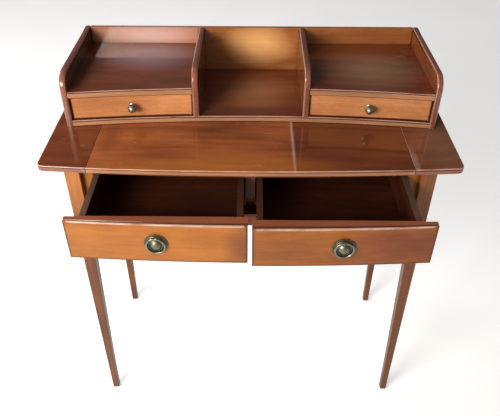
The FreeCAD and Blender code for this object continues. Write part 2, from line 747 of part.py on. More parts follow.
def circle_sketch(body, name, radius):
    """A circle where the ring's wire passes through the eye, across the body."""
    sketch = body.newObject("Sketcher::SketchObject", name)
    sketch.AttachmentSupport = (plane_of(body, "YZ_Plane"), "")
    sketch.MapMode = "FlatFace"
    centre = Vector(-dim["ring_rise"].value, dim["ring_middle"].value, 0)
    sketch.addGeometry(Part.Circle(centre, Vector(0, 0, 1), radius.value), False)
    fix_point(sketch, "out", "DistanceX", 0, 3, -dim["ring_rise"])
    fix_point(sketch, "up", "DistanceY", 0, 3, dim["ring_middle"])
    index = sketch.addConstraint(Sketcher.Constraint("Radius", 0, radius.value))
    sketch.renameConstraint(index, "radius")
    sketch.setExpression("Constraints.radius", radius.text)
    return sketch


def pull_ring(name, point, turn):
    """A plain round ring that hangs from the eye, flat before the plate."""
    body = new_body(name)
    wire = body.newObject("Sketcher::SketchObject", name + "_wire")
    wire.AttachmentSupport = (plane_of(body, "XY_Plane"), "")
    wire.MapMode = "FlatFace"
    centre = Vector(dim["ring_middle"].value, -dim["ring_rise"].value, 0)
    wire.addGeometry(Part.Circle(centre, Vector(0, 0, 1), dim["ring_wire"].value), False)
    fix_point(wire, "middle", "DistanceX", 0, 3, dim["ring_middle"])
    fix_point(wire, "out", "DistanceY", 0, 3, -dim["ring_rise"])
    index = wire.addConstraint(Sketcher.Constraint("Radius", 0, dim["ring_wire"].value))
    wire.renameConstraint(index, "radius")
    wire.setExpression("Constraints.radius", dim["ring_wire"].text)
    bend = body.newObject("PartDesign::Revolution", name + "_bend")
    bend.Profile = wire
    bend.ReferenceAxis = (wire, ["V_Axis"])
    bend.Angle = 360.0
    keep(place(body, *point, turn=turn), name)


def pull_bolt(name, point, turn, thick):
    """A bolt from inside the drawer into the plate's boss."""
    r, head = dim["bolt_round"], dim["head_round"]
    # The front is thickest at the middle of the desk and thinner by this much at the pull.
    radius = bow_radius(dim["front_outer"], dim["rail_bow"])
    fall = radius - root(radius * radius - dim["pull_place"] * dim["pull_place"])
    seat = thick - fall + dim["head_gap"]
    far = seat + dim["head_thick"]
    tip = -(dim["bolt_depth"] - 0.3)
    corners = [(0, tip), (r, tip), (r, seat), (head, seat), (head, far - 0.8),
               (head - 0.8, far), (0, far)]
    keep(place(turned(name, "XY_Plane", corners), *point, turn=turn), name)


# ---- small drawers ---------------------------------------------------------------------

def small_drawer(side):
    prefix = f"small_{SIDE_NAME[side]}_"
    gap, t = dim["small_gap"], dim["small_side_thick"]
    inner = dim["divider_outer"] + gap
    outer = dim["gallery_half"] - dim["gallery_board"] - gap
    low = dim["top_height"] + dim["base_thick"] + gap
    high = dim["tray_top"] - dim["tray_thick"] - gap
    z = (low, high)
    far = dim["gallery_front"] + 2
    behind = dim["small_recess"] + dim["small_front_thick"]

    name = prefix + "front"
    rear = dim["gallery_front"] - dim["gallery_hollow"] - behind - 2
    blank = box(name + "_blank", across(side, inner, outer), deep(far, rear), z)
    face = cut(name + "_face", blank, [hollow_drum(name + "_hollow", dim["small_recess"], z)])
    shell = boolean("Common", name + "_shell", face, hollow_drum(name + "_back", behind, z))
    point, turn = knob_point(side)
    bore = across_bore(name + "_bore", dim["bolt_hole"], point, turn)
    keep(cut(name, shell, [bore]), name)

    side_low = dim["top_height"] + dim["base_thick"] + 0.4
    side_z = (side_low, high - dim["small_side_fall"])
    near = inner + dim["small_side_gap"]
    away = outer - dim["small_side_gap"]
    sides = []
    for label, x in (("inner", (near, near + t)), ("outer", (away - t, away))):
        name = prefix + "side_" + label
        board = box(name + "_blank", across(side, *x), deep(far, dim["small_back"]), side_z)
        sides.append(cut(name, board, [hollow_drum(name + "_end", behind, side_z)]))
    group(prefix + "sides", sides)

    within = across(side, near + t, away - t)
    floor = side_low + 2
    keep(box(prefix + "back", within, deep(dim["small_back"] + t, dim["small_back"]),
             (floor + dim["bottom_thick"], side_z[1])), prefix + "back")
    name = prefix + "bottom"
    floor_z = (floor, floor + dim["bottom_thick"])
    board = box(name + "_blank", within, deep(far, dim["small_back"]), floor_z)
    keep(cut(name, board, [hollow_drum(name + "_end", behind, floor_z)]), name)
    knob(prefix + "knob", point, turn)


def knob_point(side):
    """The middle of a knob on the hollow face, and the sine of its turn."""
    radius = bow_radius(dim["gallery_half"], dim["gallery_hollow"])
    centre = dim["gallery_front"] - dim["gallery_hollow"] + radius
    face = radius + dim["small_recess"]
    x = dim["knob_place"]
    forward = centre - root(face * face - x * x)
    return (x * side, depth(forward), dim["knob_height"]), x / face * -side


def knob(name, point, turn):
    """A ball knob with a neck, a foot and a stud, turned in one piece."""
    ball, reach, neck = dim["knob_ball"], dim["knob_reach"], dim["knob_neck"]
    r, foot = dim["bolt_round"], dim["knob_foot"]
    meet = reach - root(ball * ball - neck * neck)
    corners = [
        (0, dim["stud_length"]), (r, dim["stud_length"]), (r, 0), (foot, 0),
        (foot, -dim["knob_foot_thick"]), (neck, -(dim["knob_foot_thick"] + 1)),
        (neck, -meet, (ZERO, -reach), True), (0, -(reach + ball)),
    ]
    keep(place(turned(name, "XY_Plane", corners), *point, turn=turn), name)


def check_and_write():
    doc.recompute()
    for item in doc.Objects:
        if "Invalid" in item.State or "Error" in item.State:
            raise RuntimeError(f"{item.Label} failed to recompute")
    for piece in parts:
        if piece.Shape.isNull() or not piece.Shape.isValid():
            raise RuntimeError(f"{piece.Label} has no valid shape")
    os.makedirs("parts", exist_ok=True)
    for piece in parts:
        piece.Shape.exportStep(f"parts/{piece.Label}.step")


legs()
case()
desk_top()
gallery_screws()
gallery()
frieze_drawer(LEFT, dim["left_open"])
frieze_drawer(RIGHT, dim["right_open"])
small_drawer(LEFT)
small_drawer(RIGHT)
check_and_write()
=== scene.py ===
import math
import random

import bmesh
import bpy
from mathutils import Matrix, Vector


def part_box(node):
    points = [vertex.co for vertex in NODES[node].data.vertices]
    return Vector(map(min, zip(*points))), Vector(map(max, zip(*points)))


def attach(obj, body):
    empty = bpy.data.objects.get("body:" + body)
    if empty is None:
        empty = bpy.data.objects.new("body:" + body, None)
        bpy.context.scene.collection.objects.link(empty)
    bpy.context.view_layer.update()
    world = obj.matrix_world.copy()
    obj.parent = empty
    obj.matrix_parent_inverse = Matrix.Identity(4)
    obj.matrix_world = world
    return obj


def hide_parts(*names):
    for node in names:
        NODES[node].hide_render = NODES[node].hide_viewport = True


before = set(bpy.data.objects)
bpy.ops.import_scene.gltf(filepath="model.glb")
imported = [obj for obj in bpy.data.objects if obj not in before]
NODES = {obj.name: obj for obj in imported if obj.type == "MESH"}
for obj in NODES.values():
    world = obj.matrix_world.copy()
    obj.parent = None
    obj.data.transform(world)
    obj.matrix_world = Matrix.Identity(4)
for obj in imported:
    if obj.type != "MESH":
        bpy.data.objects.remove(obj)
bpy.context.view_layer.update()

# Sizes are in millimetres. A place is (x, forward, z): forward is counted from the back edge of
# the top towards the sitter.
MM = 0.001
BACK_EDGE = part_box("top_end_left")[1][1]
SIDES = {"left": -1, "right": 1}

SMOOTH_BELOW = math.radians(38)
ROUND_STEPS = 8
BOARD_STATIONS = 36


def place(x, forward, z):
    return Vector((x * MM, BACK_EDGE - forward * MM, z * MM))


def reach(node):
    """(low, high) of a CAD node in x, forward and z."""
    low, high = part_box(node)
    return (
        (low[0] / MM, high[0] / MM),
        ((BACK_EDGE - high[1]) / MM, (BACK_EDGE - low[1]) / MM),
        (low[2] / MM, high[2] / MM),
    )


def bow_radius(half, bow):
    return (half * half + bow * bow) / (2 * bow)


# ---- curves of the desk ------------------------------------------------------------------

TOP_HALF = reach("top_end_right")[0][1]
TOP_FRONT = reach("writing_slide")[1][1]
TOP_BOW = 14.3
TOP_CORNER_ROUND = 13.0

FRIEZE_HALF = reach("frieze_right_front")[0][1]
LEG_FACE = reach("leg_front_left")[1][1]
RAIL_BOW = reach("rail_front_bottom")[1][1] - LEG_FACE

GALLERY_HALF = reach("gallery_side_right")[0][1]
GALLERY_FRONT = reach("gallery_side_right")[1][1]
GALLERY_HOLLOW = 26.3
GALLERY_ROUND = 32.0
SMALL_RECESS = 6.0

PULL_PLACE = 172.0
PULL_HEIGHT = sum(reach("frieze_left_pull_bolt")[2]) / 2
KNOB_PLACE = 243.0
KNOB_HEIGHT = sum(reach("small_left_knob")[2]) / 2
TOP_HEIGHT = reach("top_end_left")[2][1]


def top_front(x):
    """How far forward the bowed front of the top stands at x."""
    radius = bow_radius(TOP_HALF, TOP_BOW)
    return TOP_FRONT - radius + math.sqrt(radius * radius - x * x)


def frieze_face(x, inner_front):
    """The bowed face of a frieze drawer, from how far forward its inner end stands."""
    radius = bow_radius(FRIEZE_HALF, RAIL_BOW)
    inner = reach("frieze_right_front")[0][0]
    drop = math.sqrt(radius * radius - inner * inner) - math.sqrt(radius * radius - x * x)
    return inner_front - drop


def hollow_front(x, recess=0.0):
    """The hollow front of the gallery, or a surface that lies behind it."""
    radius = bow_radius(GALLERY_HALF, GALLERY_HOLLOW)
    centre = GALLERY_FRONT - GALLERY_HOLLOW + radius
    return centre - math.sqrt((radius + recess) ** 2 - x * x)


# ---- mesh helpers ------------------------------------------------------------------------

def finish(name, mesh, material, body, stands_for=()):
    """Turn a bmesh into a shaded piece that rides on a body."""
    bmesh.ops.remove_doubles(mesh, verts=mesh.verts, dist=1e-6)
    bmesh.ops.recalc_face_normals(mesh, faces=mesh.faces)
    data = bpy.data.meshes.new(name)
    mesh.to_mesh(data)
    mesh.free()
    data.shade_smooth()
    data.set_sharp_from_angle(angle=SMOOTH_BELOW)
    piece = bpy.data.objects.new(name, data)
    bpy.context.scene.collection.objects.link(piece)
    piece.data.materials.append(material)
    weighted = piece.modifiers.new("flat_faces", "WEIGHTED_NORMAL")
    weighted.keep_sharp = True
    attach(piece, body)
    if stands_for:
        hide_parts(*stands_for)
    return piece


def skin(rings, caps="flat", marks=None):
    """A bmesh through rings of points. A flat cap is one face; a curved one is a strip of quads.
    Marks give each point its rub_and_light (1 on a rubbed arris with a painted highlight, -1 for
    painted shade in a groove) and its edge_light (1 on the edge faces of a board, which take
    painted light and shade), which the wood material reads."""
    mesh = bmesh.new()
    rub_and_light = mesh.verts.layers.float.new("rub_and_light")
    edge_light = mesh.verts.layers.float.new("edge_light")
    loops = [[mesh.verts.new(point) for point in ring] for ring in rings]
    for loop, ring_marks in zip(loops, marks or []):
        for vertex, mark in zip(loop, ring_marks):
            vertex[rub_and_light], vertex[edge_light] = mark
    count = len(loops[0])
    for lower, upper in zip(loops, loops[1:]):
        for i in range(count):
            j = (i + 1) % count
            mesh.faces.new((lower[i], lower[j], upper[j], upper[i]))
    for loop in (loops[0], loops[-1]):
        if caps == "flat":
            mesh.faces.new(loop)
        elif caps == "strips":
            for i in range(count // 2 - 1):
                mesh.faces.new((loop[i], loop[i + 1], loop[count - 2 - i], loop[count - 1 - i]))
    return mesh


def rounded(corners):
    """An outline with its corners rounded. Each corner is (a, b, radius, weight of next edge)."""
    outline = []
    for i, (a, b, radius, weight) in enumerate(corners):
        before = corners[i - 1][3]
        point = Vector((a, b))
        if not radius:
            outline.append((point, weight))
            continue
        last = Vector(corners[i - 1][:2])
        following = Vector(corners[(i + 1) % len(corners)][:2])
        into, out = (last - point).normalized(), (following - point).normalized()
        half_angle = into.angle(out) / 2
        centre = point + (into + out).normalized() * (radius / math.sin(half_angle))
        start = point + into * (radius / math.tan(half_angle)) - centre
        turn = start.angle_signed(point + out * (radius / math.tan(half_angle)) - centre)
        for step in range(ROUND_STEPS + 1):
            part = step / ROUND_STEPS
            spoke = Matrix.Rotation(-turn * part, 2) @ start
            outline.append((centre + spoke, before + (weight - before) * part))
    return outline


def inset(outline, distance):
    """Move each point of an outline inwards by distance times the weight of the edges there."""
    count = len(outline)
    points = [point for point, weight in outline]
    area = sum(points[i - 1].cross(points[i]) for i in range(count))
    facing = 1 if area > 0 else -1
    moved = []
    for i in range(count):
        before = (points[i] - points[i - 1]).normalized()
        after = (points[(i + 1) % count] - points[i]).normalized()
        normal_before = Vector((-before.y, before.x)) * facing
        normal_after = Vector((-after.y, after.x)) * facing
        depth_before = distance * outline[i - 1][1]
        depth_after = distance * outline[i][1]
        sine = before.cross(after)
        if abs(sine) < 0.4:
            normal = (normal_before + normal_after).normalized()
            depth = (depth_before + depth_after) / 2
            moved.append(points[i] + normal * depth)
        else:
            along_before = (depth_after - depth_before * before.dot(after)) / sine * facing
            moved.append(points[i] + normal_before * depth_before - before * along_before)
    return moved


def quarter(steps):
    """Pairs round a quarter circle: the first falls from one to nought, the second rises."""
    angles = [math.pi / 2 * step / steps for step in range(steps + 1)]
    return [(1 - math.sin(angle), 1 - math.cos(angle)) for angle in angles]


# Edge shapes run from the lower face of a board to the upper one: (inset, height, rub_and_light,
# edge_light).
def beaded(thick, bead, lower):
    """A bead along the upper arris, a quirk under it, and a plain face with a soft foot."""
    shape = [(lower + 1.2, 0, 0, 0)]
    shape += [(lower * falling, lower * rising, 0, 1) for falling, rising in quarter(4)]
    middle = thick - bead
    quirk = middle - bead * 0.9
    # The quirk under the bead takes painted shade.
    shape += [(0.0, quirk - 0.9, 0, 1), (0.25, quirk - 0.5, -0.7, 1),
              (bead * 0.85, quirk - 0.1, -1, 0), (bead * 0.85, quirk + 0.15, -1, 0)]
    for step in range(9):
        turn = -55 + 145 * step / 8
        angle = math.radians(turn)
        # Rubbing and a painted highlight over the bead, painted shade under it.
        rub_and_light = 1 if 0 < turn < 80 else -0.4 if turn < 0 else 0.3
        shape.append((bead * (1 - math.cos(angle)), middle + bead * math.sin(angle), rub_and_light, 0))
    return shape + [(bead + 0.9, thick, 0, 0), (bead + 1.4, thick, 0, 0)]


def soft(thick, radius):
    """An edge with both arrises rounded."""
    steps = 5
    lower = [(radius + 1.0, 0, 0, 0)]
    upper = []
    for step, (falling, rising) in enumerate(quarter(steps)):
        # A pale line of rubbing and painted highlight round the middle of each arris.
        rub_and_light = 0.7 if step in (2, 3) else 0
        lower.append((radius * falling, radius * rising, rub_and_light, step / steps))
        upper.append((radius * rising, thick - radius * falling, rub_and_light, 1 - step / steps))
    return lower + upper + [(radius + 1.0, thick, 0, 0)]


def board(outline, shape, base, put):
    """A flat board. Put turns (a, b, height) into a point."""
    rings = []
    marks = []
    for distance, height, rub_and_light, edge_light in shape:
        rings.append([put(point.x, point.y, base + height) for point in inset(outline, distance)])
        marks.append([(rub_and_light, edge_light)] * len(rings[-1]))
    return skin(rings, marks=marks)


def panel(across, up, shape, surface, steps=()):
    """A board with a curved face. Its shape is (inset, setback, rub_and_light, edge_light), from
    the face back, and steps are places across it where its back changes. Its upper edge is rubbed
    pale with a painted highlight, and the other three have painted shade."""
    rings = []
    marks = []
    for distance, setback, rub_and_light, edge_light in shape:
        a0, a1 = across[0] + distance, across[1] - distance
        b0, b1 = up[0] + distance, up[1] - distance
        even = [a0 + (a1 - a0) * i / BOARD_STATIONS for i in range(BOARD_STATIONS + 1)]
        stations = sorted(even + list(steps))
        ring = [surface(a, b0, setback) for a in stations]
        ring += [surface(a, b1, setback) for a in reversed(stations)]
        rings.append(ring)
        # The side and lower edges take painted shade where the upper edge takes its pale arris.
        shaded_edge = (-min(0.9, 3 * abs(rub_and_light)), edge_light)
        upper = [shaded_edge] + [(rub_and_light, edge_light)] * (len(stations) - 2) + [shaded_edge]
        marks.append([shaded_edge] * len(stations) + upper)
    return skin(rings, "strips", marks)


def turned(profile, axis, segments=64):
    """A turned piece: profile is (radius, height) along the axis matrix's Z."""
    rings = []
    for radius, height in profile:
        ring = []
        for i in range(segments):
            angle = 2 * math.pi * i / segments
            local = Vector((radius * math.cos(angle), radius * math.sin(angle), height)) * MM
            ring.append(axis @ local)
        rings.append(ring)
    return skin(rings)


def hoop(outline, axis, count):
    """A closed outline of (radius, height) points, swept round the axis matrix's Z."""
    rings = []
    for i in range(count + 1):
        angle = 2 * math.pi * i / count
        across, up = math.cos(angle), math.sin(angle)
        rings.append([axis @ (Vector((across * r, up * r, h)) * MM) for r, h in outline])
    return skin(rings, "open")


def arc(middle, radius, start, end, steps):
    """Points (r, h) on an arc, with angles in degrees from the r axis."""
    points = []
    for i in range(steps + 1):
        angle = math.radians(start + (end - start) * i / steps)
        points.append((middle[0] + radius * math.cos(angle), middle[1] + radius * math.sin(angle)))
    return points


# ---- materials ---------------------------------------------------------------------------

class Shader:
    """A material's node tree, with short calls that add nodes."""

    def __init__(self, name):
        self.material = bpy.data.materials.new(name)
        self.material.use_nodes = True
        self.tree = self.material.node_tree
        self.surface = self.tree.nodes["Principled BSDF"]
        self.spot = self.add("TexCoord").outputs["Object"]

    def add(self, kind, inputs=None, **settings):
        node = self.tree.nodes.new("ShaderNode" + kind)
        for key, value in settings.items():
            setattr(node, key, value)
        for key, value in (inputs or {}).items():
            self.feed(node.inputs[key], value)
        return node

    def feed(self, socket, value):
        if isinstance(value, bpy.types.NodeSocket):
            self.tree.links.new(value, socket)
        else:
            socket.default_value = value

    def set(self, **inputs):
        for key, value in inputs.items():
            self.feed(self.surface.inputs[key.replace("_", " ")], value)

    def mix(self, factor, first, second, blend="MIX"):
        node = self.add("Mix", data_type="RGBA", blend_type=blend)
        self.feed(node.inputs[0], factor)
        self.feed(node.inputs[6], first)
        self.feed(node.inputs[7], second)
        return node.outputs[2]

    def math(self, operation, first, second=0.0, third=0.0):
        node = self.add("Math", {0: first, 1: second, 2: third}, operation=operation)
        return node.outputs[0]

    def span(self, value, low, high, to_low=0.0, to_high=1.0):
        """Value from low..high to to_low..to_high, held at the ends."""
        sockets = {"Value": value, "From Min": low, "From Max": high,
                   "To Min": to_low, "To Max": to_high}
        return self.add("MapRange", sockets).outputs[0]

    def shift(self, vector, location=(0, 0, 0), rotation=(0, 0, 0), scale=(1, 1, 1)):
        sockets = {"Vector": vector, "Location": location, "Rotation": rotation, "Scale": scale}
        return self.add("Mapping", sockets).outputs[0]

    def noise(self, vector, scale, detail=2.0, roughness=0.5):
        sockets = {"Vector": vector, "Scale": scale, "Detail": detail, "Roughness": roughness}
        return self.add("TexNoise", sockets).outputs["Fac"]

    def edges(self, radius):
        """One on sharp outer edges, none on flat faces."""
        bevel = self.add("Bevel", {"Radius": radius * MM}, samples=4).outputs[0]
        flat = self.add("NewGeometry").outputs["Normal"]
        facing = self.add("VectorMath", {0: bevel, 1: flat}, operation="DOT_PRODUCT")
        return self.span(facing.outputs["Value"], 0.995, 0.8)

    def hollows(self, distance):
        """One in corners and crevices, none in the open."""
        open_sky = self.add("AmbientOcclusion", {"Distance": distance * MM}, samples=4)
        return self.span(open_sky.outputs["AO"], 0.75, 0.25)

    def bump(self, height, strength, distance):
        sockets = {"Height": height, "Strength": strength, "Distance": distance * MM}
        return self.add("Bump", sockets).outputs[0]


def colour(red, green, blue):
    return (red, green, blue, 1.0)


def dimmed(tint, part):
    """A colour at part of its brightness."""
    return [value * part for value in tint[:3]] + [1]


# Each grain direction draws the figure out along its own axis, with a slight lean.
ALONG = {"x": (0.045, 1, 1), "y": (1, 0.045, 1), "z": (1, 1, 0.045)}
TILTS = {"x": (0, 0.02, 0.03), "y": (0.02, 0, 0.03), "z": (0.03, 0.02, 0)}
# Pale tone of rubbed arrises, of scuffs and of the painted highlights along arrises.
RUB_AND_HIGHLIGHT = colour(0.60, 0.44, 0.38)
# Tones of painted light and painted shade on the edge faces of boards.
EDGE_LIGHT = colour(0.44, 0.205, 0.105)
EDGE_SHADE = colour(0.24, 0.075, 0.040)


class Grain:
    """The layers that a piece of wood is drawn from, each from nought to one."""

    def __init__(self, s, grain, seed):
        chance = random.Random(seed)
        offset = [chance.uniform(-0.4, 0.4) for _ in range(3)]
        tilt = [angle * chance.choice((-1, 1)) for angle in TILTS[grain]]
        self.moved = s.shift(s.spot, location=offset, rotation=tilt)
        drawn = s.shift(self.moved, scale=ALONG[grain])
        half_drawn = s.shift(self.moved, scale=[0.25 + 0.75 * v for v in ALONG[grain]])
        wave = {"Vector": drawn, "Scale": 34.0, "Distortion": 5.0, "Detail": 3.0,
                "Detail Scale": 1.2, "Detail Roughness": 0.55}
        self.rings = s.add("TexWave", wave, wave_type="RINGS",
                           rings_direction=grain.upper()).outputs["Fac"]
        self.streaks = s.noise(drawn, 75, 4, 0.6)
        self.fine = s.noise(drawn, 420, 3, 0.6)
        self.pores = s.span(s.noise(drawn, 1500, 2, 0.5), 0.58, 0.70)
        self.tone = s.noise(self.moved, 4.5, 3, 0.55)
        self.cloud = s.noise(half_drawn, 26, 4, 0.62)
        # Where the arrises show their pale line of rubbing and painted highlight.
        self.handled = s.span(s.noise(half_drawn, 60, 4, 0.65), 0.30, 0.55, 0.25, 1.0)

    def shade(self, s, figure):
        """How light the wood is, with growth rings of the figure's strength."""
        shade = 0.0
        for layer, strength in ((self.rings, figure * 0.45), (self.streaks, 0.6),
                                (self.fine, 0.3), (self.tone, 0.9), (self.cloud, 1.2)):
            shade = s.math("MULTIPLY_ADD", s.math("SUBTRACT", layer, 0.5), strength, shade)
        return s.span(shade, -0.5, 0.5)


def shaded_right_part(s, surface, layers, x):
    """Painted shade over the board to the right of x, and a ragged pale line along its edge."""
    apart = s.math("SUBTRACT", s.add("SeparateXYZ", {0: s.spot}).outputs["X"], x * MM)
    shaded_part = s.mix(1.0, surface, colour(0.54, 0.45, 0.45), "MULTIPLY")
    surface = s.mix(s.span(apart, -0.4 * MM, 0.4 * MM), surface, shaded_part)
    ragged = s.math("MULTIPLY_ADD", s.math("SUBTRACT", layers.tone, 0.5), 8 * MM,
                    s.math("ABSOLUTE", apart))
    return s.mix(s.span(ragged, 3 * MM, 0.2 * MM, 0, 0.5), surface, RUB_AND_HIGHLIGHT)


def patch(where, size, tint, strength):
    """A patch of another tone, mostly painted light, shade and reflection, and a few marks of
    rubbing: a middle, half sizes in millimetres, a tone and how much of it there is."""
    return where, [length * MM for length in size], tint, strength


def patched(s, surface, layers, shade, one):
    """A surface with a cloudy-edged patch."""
    centre, size, tint, strength = one
    apart = s.add("VectorMath", {0: s.spot, 1: centre}, operation="SUBTRACT").outputs[0]
    apart = s.add("VectorMath", {0: apart, 1: size}, operation="DIVIDE").outputs[0]
    apart = s.add("VectorMath", {0: apart}, operation="LENGTH").outputs["Value"]
    apart = s.math("MULTIPLY_ADD", s.math("SUBTRACT", layers.cloud, 0.5), 0.7, apart)
    part = s.math("MULTIPLY", s.span(apart, 1.0, 0.25), strength)
    return s.mix(part, surface, s.mix(shade, dimmed(tint, 0.62), tint))


def edge_light_and_shade(s, surface, shade, edge_light, deep):
    """The painted light and shade on the edge faces of a board, and painted shade in grooves and
    corners.
    """
    edge = s.add("Attribute", attribute_name="edge_light").outputs["Fac"]
    surface = s.mix(edge, surface, s.mix(shade, dimmed(edge_light, 0.55), edge_light))
    # Painted shade in corners and crevices.
    surface = s.mix(s.math("MULTIPLY", s.hollows(7), 0.55), surface, deep)
    # Painted shade in the quirks and along the shaded edges.
    groove = s.span(s.add("Attribute", attribute_name="rub_and_light").outputs["Fac"], -0.1, -0.9)
    return s.mix(s.math("MULTIPLY", groove, 0.85), surface, deep)


def rubbed_and_highlit(s, surface, layers, light, wear_and_highlight):
    """Arrises rubbed pale with a painted highlight along them, and every other sharp edge painted
    a little lighter, as a highlight.
    """
    rub_and_light = s.span(s.add("Attribute", attribute_name="rub_and_light").outputs["Fac"], 0.1, 0.9)
    pale = s.math("MULTIPLY", s.math("MULTIPLY", rub_and_light, layers.handled), wear_and_highlight)
    surface = s.mix(pale, surface, RUB_AND_HIGHLIGHT)
    lighter = s.math("MULTIPLY", s.math("MULTIPLY", s.edges(1.2), layers.handled), wear_and_highlight * 0.5)
    return s.mix(lighter, surface, [min(1.0, v * 1.7 + 0.02) for v in light[:3]] + [1])


def scuff_marks(s, layers, strength):
    """Fine scuffs in places, as a layer from nought to the strength."""
    crossing = s.shift(layers.moved, rotation=(0, 0, 0.6), scale=(0.25, 1.6, 1))
    lines = s.span(s.noise(crossing, 160, 2, 0.4), 0.66, 0.72)
    where = s.span(s.noise(layers.moved, 7, 2), 0.52, 0.66)
    return s.math("MULTIPLY", s.math("MULTIPLY", lines, where), strength)


def wood(name, grain, seed, dark, light, figure=0.5, coat=1.0, coat_roughness=0.07,
         roughness=0.42, wear_and_highlight=0.6, scuffs=0.0, edge_light=EDGE_LIGHT, pale_above=None, patches=(),
         shade_from=None):
    """Polished wood. Figure is the strength of the growth rings, edge_light the tone of painted
    light and shade on the edge faces, and pale_above the height from which a top edge is
    unstained, with its colour. From the x in shade_from, painted shade darkens the board to the
    right."""
    s = Shader(name)
    layers = Grain(s, grain, seed)
    shade = layers.shade(s, figure)
    deep = dimmed(dark, 0.3)
    surface = s.mix(shade, dark, light)
    surface = s.mix(s.math("MULTIPLY", layers.pores, 0.35), surface, deep)
    # Painted shade over the part of the board to the right of shade_from.
    if shade_from is not None:
        surface = shaded_right_part(s, surface, layers, shade_from)
    for one in patches:
        surface = patched(s, surface, layers, shade, one)
    surface = edge_light_and_shade(s, surface, shade, edge_light, deep)
    surface = rubbed_and_highlit(s, surface, layers, light, wear_and_highlight)
    if pale_above is not None:
        top, pale = pale_above
        height = s.add("SeparateXYZ", {0: s.spot}).outputs["Z"]
        rim = s.span(height, (top - 0.6) * MM, (top - 0.2) * MM)
        surface = s.mix(s.math("MULTIPLY", rim, 0.8), surface, pale)
    sheen = s.span(layers.streaks, 0.3, 0.7, roughness - 0.06, roughness + 0.08)
    if scuffs:
        marks = scuff_marks(s, layers, scuffs)
        surface = s.mix(marks, surface, RUB_AND_HIGHLIGHT)
        sheen = s.math("MULTIPLY_ADD", marks, 0.3, sheen)

    grain_height = s.math("SUBTRACT", s.math("MULTIPLY", layers.fine, 0.5), layers.pores)
    waves = s.math("MULTIPLY_ADD", grain_height, 0.03, s.noise(layers.moved, 22, 2))
    s.set(Base_Color=surface, Roughness=sheen, Specular_IOR_Level=0.22,
          Specular_Tint=colour(1.0, 0.62, 0.38), Coat_Weight=coat, Coat_Roughness=coat_roughness,
          Coat_IOR=1.45)
    s.feed(s.surface.inputs["Normal"], s.bump(grain_height, 0.35, 0.12))
    s.feed(s.surface.inputs["Coat Normal"], s.bump(waves, 0.5, 0.35))
    return s.material


def brass(name, seed, tone, roughness=0.3):
    """Aged brass: the tone where it is rubbed, greyer and darker under patina."""
    chance = random.Random(seed)
    s = Shader(name)
    moved = s.shift(s.spot, location=[chance.uniform(-1, 1) for _ in range(3)])
    patina = s.span(s.noise(moved, 260, 4, 0.6), 0.35, 0.7)
    stain = s.span(s.noise(moved, 900, 3, 0.6), 0.45, 0.75)
    surface = s.mix(patina, tone, dimmed(tone, 0.45))
    surface = s.mix(s.math("MULTIPLY", stain, 0.4), surface, colour(0.05, 0.048, 0.035))
    surface = s.mix(s.math("MULTIPLY", s.edges(0.5), 0.4), surface, colour(0.52, 0.51, 0.43))
    surface = s.mix(s.hollows(3), surface, colour(0.010, 0.009, 0.006))
    s.set(Base_Color=surface, Metallic=1.0,
          Roughness=s.span(patina, 0, 1, roughness, roughness + 0.16))
    s.feed(s.surface.inputs["Normal"], s.bump(s.noise(moved, 1400, 2), 0.25, 0.05))
    return s.material


def steel(name):
    """Brushed steel with dull spots."""
    s = Shader(name)
    brushed = s.noise(s.shift(s.spot, scale=(1, 1, 12)), 700, 3)
    spots = s.span(s.noise(s.spot, 420, 4, 0.6), 0.55, 0.75)
    surface = s.mix(spots, colour(0.45, 0.44, 0.42), colour(0.2, 0.14, 0.1))
    s.set(Base_Color=surface, Metallic=1.0, Roughness=s.span(brushed, 0.3, 0.7, 0.28, 0.5))
    s.feed(s.surface.inputs["Normal"], s.bump(brushed, 0.2, 0.05))
    return s.material


# Woods, as (dark, light).
CHERRY = (colour(0.075, 0.018, 0.006), colour(0.22, 0.062, 0.017))
TOP_CHERRY = (colour(0.145, 0.034, 0.009), colour(0.37, 0.098, 0.024))
END_CHERRY = (colour(0.068, 0.013, 0.004), colour(0.185, 0.038, 0.010))
FACE_CHERRY = (colour(0.17, 0.044, 0.003), colour(0.40, 0.132, 0.008))
RIGHT_FACE_SHADED = (colour(0.13, 0.033, 0.002), colour(0.34, 0.096, 0.004))
SMALL_FACE = (colour(0.27, 0.088, 0.026), colour(0.62, 0.27, 0.115))
BACK_CHERRY = (colour(0.16, 0.045, 0.012), colour(0.42, 0.155, 0.045))
LEG_CHERRY = (colour(0.047, 0.013, 0.005), colour(0.17, 0.050, 0.014))
INSIDE = (colour(0.020, 0.005, 0.003), colour(0.075, 0.021, 0.010))
BARE = (colour(0.17, 0.085, 0.040), colour(0.40, 0.23, 0.12))

# Patches of painted light, shade and reflection, a dark patch, and edge and rim tones with painted
# light and shade.
SLIDE_SHADE = colour(0.14, 0.030, 0.009)
SLIDE_LIGHT = colour(0.46, 0.15, 0.022)
SLIDE_DARK_PATCH = colour(0.11, 0.022, 0.012)
TRAY_SHEEN = colour(0.30, 0.20, 0.225)
TRAY_HAZY_SHEEN = colour(0.32, 0.155, 0.085)
BAY_SHEEN = colour(0.235, 0.082, 0.046)
SIDE_SHADE = colour(0.028, 0.010, 0.008)
PINK_GLARE = colour(0.74, 0.46, 0.40)
GOLD_GLOW = colour(0.95, 0.50, 0.19)
BACK_SHADE = colour(0.28, 0.085, 0.024)
RIGHT_END_SHADE = colour(0.145, 0.028, 0.002)
LEG_TOP_LIGHT = colour(0.50, 0.185, 0.045)
# Painted light and shade on the edges of the frieze fronts.
FRIEZE_EDGE_LIGHT = colour(0.30, 0.088, 0.042)
INNER_RIM = colour(0.055, 0.022, 0.013)
OUTER_RIM = colour(0.105, 0.066, 0.050)

# Brass.
RING_TONE = colour(0.26, 0.26, 0.20)
PLATE_TONE = colour(0.23, 0.22, 0.15)
KNOB_TONE = colour(0.33, 0.33, 0.27)


